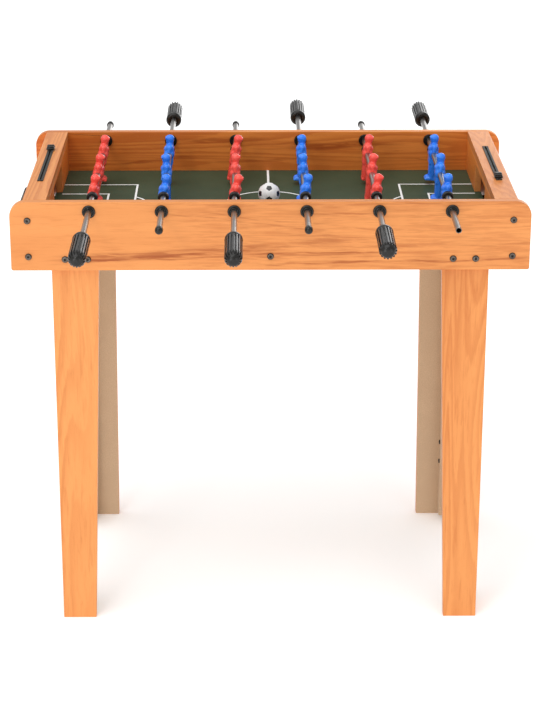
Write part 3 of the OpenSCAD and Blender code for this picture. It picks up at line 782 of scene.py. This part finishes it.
def handle(k):
    """The ribbed grip: a thick collar with a recess for the tube, ribs, and an outer end.

    Some grips have a large smooth round end. The ribs of the others end proud of a small dome.
    """
    x, z, tube_r = rod_axis(k)
    low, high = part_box(f"rod_{k}_handle")
    radius = (high.x - low.x) / 2
    length = high.y - low.y
    side = handle_side(k)
    start = low.y if side > 0 else high.y
    tube_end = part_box(f"rod_{k}_tube")[1 if side > 0 else 0].y
    bore_depth = abs(tube_end - start)
    round_ended = k in ROUND_ENDED_RODS
    nose_r, nose_l = 7.6 * MM, 4.2 * MM
    lip = 1.8 * MM
    recess = 4 * MM
    collar_l = 9.5 * MM
    collar_fall = 2.2 * MM
    rib_start = 10.6 * MM
    rib_drop, groove_depth = 0.25 * MM, 2.0 * MM
    rib_r = radius - rib_drop
    groove_r = rib_r - groove_depth
    dome_l = 13 * MM if round_ended else 6.5 * MM
    dome_r = rib_r if round_ended else groove_r
    smooth_r = 7.6 * MM
    flat_r = 1.5 * MM
    rib_end = length - dome_l
    rib_round = 1.2 * MM
    ease = 2 * MM
    groove_share, soft = 0.42, 0.12
    tiny = 0.001 * MM

    def ribbed(r, along, angle):
        if along < rib_start - tiny or r < (smooth_r if round_ended else groove_r):
            return r
        ramp = min(1.0, (along - rib_start) / ease)
        if round_ended:
            ramp *= min(1.0, (r - smooth_r) / ease)
        t = abs((angle * RIBS / math.tau) % 1 - 0.5) * 2
        s = min(1.0, max(0.0, (t - groove_share + soft) / (2 * soft)))
        cut = 1 - s * s * (3 - 2 * s)
        return r - cut * ramp * (rib_r - groove_r)

    profile = [(0, bore_depth), (tube_r, bore_depth), (tube_r, recess)]
    profile += [(nose_r - lip, recess), (nose_r - lip * 0.8, 0.5 * MM), (nose_r - lip * 0.4, 0)]
    profile += arc((nose_r, nose_l), (radius - nose_r, nose_l), -80, 0, 8)
    profile += arc((rib_r - collar_fall * 0.6, collar_l - collar_fall),
                   (radius - rib_r + collar_fall * 0.6, collar_fall), 0, 80, 5)
    profile += [(rib_r - collar_fall * 0.5, rib_start - 0.4 * MM), (rib_r, rib_start)]
    profile += [(rib_r, rib_start + ease * i / 4) for i in range(1, 4)]
    steps = 12
    first = rib_start + ease
    stop = rib_end - ease
    profile += [(rib_r, first + (stop - first) * i / steps) for i in range(steps + 1)]
    if not round_ended:
        profile += [(rib_r, stop + ease * 0.5)]
        corner = (rib_r - rib_round, rib_end - rib_round)
        profile += arc(corner, (rib_round, rib_round), 0, 75, 4)
    profile += arc((flat_r, rib_end), (dome_r - flat_r, dome_l), 2, 86, 26)
    profile += [(0, length)]
    bm = bmesh.new()
    spin(bm, profile, along_y(x, start, z, side), RIBS * RIB_STEPS, shape=ribbed)
    piece = new_object(f"rod_{k}_grip", bm, 50)
    place_piece(piece, black_plastic, f"rod_{k}", "black_plastic", f"rod_{k}_handle")


# ---- Men --------------------------------------------------------------------

def man_mesh(tube_r):
    """One moulded man: the rod runs along Y through the origin and he looks towards +X."""
    bm = bmesh.new()

    def at(x, y, z):
        return (x * MM, y * MM, z * MM)

    # Head: a tall helmet shape with a flat brow, on a thick neck
    rounded_box(bm, at(-5.4, -5.2, 15.0), at(6.2, 5.2, 27.6), 4.4 * MM, 5)
    blob(bm, at(0.4, 0, 21.8), at(6.3, 5.9, 6.3))
    rounded_box(bm, at(0.0, -4.6, 20.4), at(7.4, 4.6, 25.4), 2.2 * MM, 4)
    limb(bm, at(0.0, 0, 9), at(0.2, 0, 17), 6.2 * MM, 4.9 * MM)
    # Shoulders, chest and arms
    limb(bm, at(0, -7.2, 10.2), at(0, 7.2, 10.2), 5.0 * MM, 5.0 * MM)
    rounded_box(bm, at(-6.6, -9.4, -2), at(6.8, 9.4, 11.6), 3.4 * MM)
    blob(bm, at(1.2, 0, 6.4), at(7.2, 8.8, 6.2))
    for sy in (-1, 1):
        limb(bm, at(-0.4, sy * 8.8, 10.2), at(0.8, sy * 10.2, 1.0), 3.6 * MM, 2.8 * MM)
    # Boss round the rod
    rounded_box(bm, at(-7.6, -12.5, -7.6), at(7.6, 12.5, 7.6), 6.9 * MM, 5)
    # Shorts, legs and boots
    rounded_box(bm, at(-6.6, -10.2, -16.5), at(6.0, 10.2, -2), 3.0 * MM)
    for sy in (-1, 1):
        limb(bm, at(-0.4, sy * 4.9, -13), at(-0.8, sy * 4.5, -34), 5.4 * MM, 4.7 * MM)
    rounded_box(bm, at(-5.2, -5.0, -36), at(3.4, 5.0, -13), 2.0 * MM)
    for sy in (-1, 1):
        limb(bm, at(-1.2, sy * 5.0, -36.4), at(6.0, sy * 5.2, -37.4), 4.0 * MM, 2.6 * MM)
    rounded_box(bm, at(-5.6, -8.8, -40.2), at(5.4, 8.8, -35.4), 1.9 * MM)
    rounded_box(bm, at(2.0, -8.2, -40.2), at(9.5, 8.2, -37.2), 1.4 * MM)
    piece = new_object("man", bm)
    remesh = piece.modifiers.new("merge", "REMESH")
    remesh.mode = "VOXEL"
    remesh.voxel_size = 0.75 * MM
    soften = piece.modifiers.new("soften", "SMOOTH")
    soften.factor = 0.5
    soften.iterations = 3
    core = bmesh.new()
    reach = 20 * MM
    spin(core, [(0, -reach), (tube_r, -reach), (tube_r, reach), (0, reach)], Matrix(), 48)
    core = new_object("core", core)
    bore = piece.modifiers.new("bore", "BOOLEAN")
    bore.operation = "DIFFERENCE"
    bore.object = core
    mesh = applied(piece)
    bpy.data.objects.remove(core)
    return mesh


def men(k, mesh):
    """The three men of a rod, looking away from their own goal, each with its own lean."""
    x, z, _ = rod_axis(k)
    front_row = handle_side(k) < 0
    ahead = 1 if front_row else -1
    above_chest = 20 * MM
    head_x, head_z = ahead * MM, 21.75 * MM
    bm = bmesh.new()
    for points in solids(f"rod_{k}_players"):
        low, high = box_of(points)
        head = [p for p in points if p.z > z and math.hypot(p.x - x, p.z - z) > above_chest]
        head_low, head_high = box_of(head)
        middle = (head_low + head_high) / 2
        lean = math.atan2(middle.x - x, middle.z - z) - math.atan2(head_x, head_z)
        place = Matrix.Translation((x, (low.y + high.y) / 2, z)) @ Matrix.Rotation(lean, 4, "Y")
        place @= Matrix.Diagonal((ahead, 1, 1, 1))
        one = mesh.copy()
        one.transform(place)
        bm.from_mesh(one)
        bpy.data.meshes.remove(one)
    paint = red_plastic if front_row else blue_plastic
    slot = "red_plastic" if front_row else "blue_plastic"
    piece = new_object(f"rod_{k}_men", bm, 60)
    place_piece(piece, paint, f"rod_{k}", slot, f"rod_{k}_players")


# ---- Score counters ---------------------------------------------------------

def score_knob(end):
    """The sliding counter: a foot and stem in the track, and a ridged grip above it."""
    node = f"{end}_score_slider"
    low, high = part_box(node)
    track_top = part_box(f"{end}_score_track")[1].z
    points = solids(node)[0]
    clear = 0.3 * MM
    foot_depth = 2.2 * MM
    below = [p for p in points if p.z < track_top - foot_depth]
    foot_low, foot_high = box_of(below)
    stem = 1.2 * MM
    base_t, side_drop = 2.6 * MM, 0.9 * MM
    middle_x = (low.x + high.x) / 2
    base = track_top + clear
    bm = bmesh.new()
    rounded_box(bm, foot_low, (foot_high.x, high.y, foot_high.z), 0.3 * MM)
    rounded_box(
        bm, (middle_x - stem, low.y, foot_low.z + clear), (middle_x + stem, high.y, base + clear),
        0.15 * MM,
    )
    rounded_box(bm, (low.x, low.y, base), (high.x, high.y, base + base_t), 0.9 * MM)
    inset = 0.7 * MM
    ridges = 3
    pitch = (high.y - low.y - 2 * inset) / ridges
    for i in range(ridges):
        start = low.y + inset + i * pitch
        top = high.z - (0 if i == 1 else side_drop)
        rounded_box(
            bm, (low.x + inset, start, base + MM), (high.x - inset, start + pitch * 0.86, top),
            1.3 * MM, 4,
        )
    piece = new_object(f"{end}_score_knob", bm)
    place_piece(piece, black_plastic, node, "black_plastic", node)


# ---- Ball -------------------------------------------------------------------

def football():
    """A small football with black and white panels and sunk seams."""
    low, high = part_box("ball")
    radius = (high.z - low.z) / 2
    centre = Vector(((low.x + high.x) / 2, (low.y + high.y) / 2, low.z + radius))
    seam_depth = 0.3 * MM
    seam_share = 0.04
    corner_cut = 29
    forward_tilt = -16
    cuts = 4
    bm = bmesh.new()
    bmesh.ops.create_icosphere(bm, subdivisions=1, radius=1)
    upper = max(bm.verts, key=lambda v: v.co.z)
    lower = max((e.other_vert(upper) for e in upper.link_edges), key=lambda v: -v.co.y)
    towards = (upper.co + lower.co).normalized()
    rise = (upper.co - lower.co).normalized()
    to_front = Matrix((rise.cross(towards), -towards, rise))
    tilt = Matrix.Rotation(math.radians(forward_tilt), 3, "X")
    bmesh.ops.bevel(
        bm, geom=bm.verts[:], offset=corner_cut, offset_type="PERCENT", segments=1,
        affect="VERTICES",
    )
    for face in bm.faces:
        face.material_index = 1 if len(face.verts) == 5 else 0
    on_seam = bm.verts.layers.float.new("on_seam")
    for vert in bm.verts:
        vert[on_seam] = 1.0
    seam_verts = set(bm.verts)
    bmesh.ops.inset_individual(bm, faces=bm.faces[:], thickness=seam_share)
    panels = [face for face in bm.faces if len(face.verts) > 4]
    bmesh.ops.poke(bm, faces=panels)
    for vert in bm.verts:
        if vert not in seam_verts:
            vert[on_seam] = 0.0
    bmesh.ops.subdivide_edges(bm, edges=bm.edges[:], cuts=cuts, use_grid_fill=True)
    for vert in bm.verts:
        depth = seam_depth * vert[on_seam] ** 2
        vert.co = tilt @ to_front @ vert.co.normalized() * (radius - depth) + centre
    piece = new_object("football", bm, 180)
    piece.data.materials.append(ball_white)
    piece.data.materials.append(ball_black)
    place_piece(piece, None, "ball", "ball_plastic", "ball")


# ---- Stage ------------------------------------------------------------------

def studio():
    """A pale floor, soft lights, and a surround whose full white only the camera sees."""
    bm = bmesh.new()
    half_floor, floor_glow, surround_glow = 9, 0.18, 0.68
    bmesh.ops.create_grid(bm, x_segments=1, y_segments=1, size=half_floor)
    floor = new_object("floor", bm)
    material, tree, surface = new_material("floor_white", Roughness=0.9)
    surface.inputs["Specular IOR Level"].default_value = 0.1
    shade = noise(tree, object_point(tree), 0.5, 1)
    tree.links.new(
        blend(tree, shade, (0.93, 0.93, 0.93), (0.95, 0.95, 0.95)), surface.inputs["Base Color"]
    )
    surface.inputs["Emission Color"].default_value = (1, 1, 1, 1)
    surface.inputs["Emission Strength"].default_value = floor_glow
    floor.data.materials.append(material)
    world = bpy.data.worlds.new("studio")
    bpy.context.scene.world = world
    world.use_nodes = True
    sky = world.node_tree
    seen = sky.nodes["Background"]
    seen.inputs["Color"].default_value = (1, 1, 1, 1)
    glow = add(sky, "ShaderNodeBackground", {"Color": (1, 1, 1, 1), "Strength": surround_glow})
    mixed = add(
        sky, "ShaderNodeMixShader",
        {0: add(sky, "ShaderNodeLightPath").outputs["Is Camera Ray"],
         1: glow.outputs[0], 2: seen.outputs[0]},
    )
    sky.links.new(mixed.outputs[0], sky.nodes["World Output"].inputs["Surface"])

    def light(name, kind, place, target, energy, **settings):
        data = bpy.data.lights.new(name, kind)
        data.energy = energy
        for key, value in settings.items():
            setattr(data, key, value)
        lamp = bpy.data.objects.new(name, data)
        lamp.location = place
        aim = Vector(target) - Vector(place)
        lamp.rotation_euler = aim.to_track_quat("-Z", "Y").to_euler()
        bpy.context.scene.collection.objects.link(lamp)

    # Name, kind, place, target and energy
    light("overhead", "SUN", (-0.3, -0.35, 1.2), (0, 0, 0), 1.55, angle=math.radians(60))
    light("front_left", "AREA", (-1.5, -3.0, 0.8), (0, 0, 0.5), 19, size=1.6)
    light("spark", "AREA", (-1.0, -2.2, 1.9), (0, -0.2, 0.6), 5, size=0.25)
    light("front_right", "AREA", (1.9, -2.8, 0.7), (0, 0, 0.4), 9, size=1.6)
    light("back", "AREA", (1.2, 3.2, 0.9), (0, 0, 0.5), 14, size=1.6)


def camera():
    """A long lens in front of the table, a little above it and looking down."""
    data = bpy.data.cameras.new("camera")
    data.lens = 100.23
    data.sensor_width = 36
    data.shift_x = 0.0119
    data.shift_y = -0.12
    view = bpy.data.objects.new("camera", data)
    look_down, look_right = 18.97, 0.41
    view.location = (-0.0302, -2.7119, 1.3888)
    view.rotation_euler = (math.radians(90 - look_down), 0, math.radians(-look_right))
    bpy.context.scene.collection.objects.link(view)
    bpy.context.scene.camera = view


field_lines()
for node in ("panel_screws", "leg_screws", "small_screws"):
    screw_heads(node, f"{node[:-1]}_heads")
bushings("front_bushings", "front_bushing_rings", -1)
bushings("back_bushings", "back_bushing_rings", 1)
one_man = man_mesh(rod_axis(1)[2])
for k in RODS:
    bumpers(k)
    handle(k)
    men(k, one_man)
    if k != UNCAPPED_ROD:
        end_cap(k)
for end in ("left", "right"):
    score_knob(end)
football()
studio()
camera()
bpy.context.scene.view_settings.view_transform = "Standard"
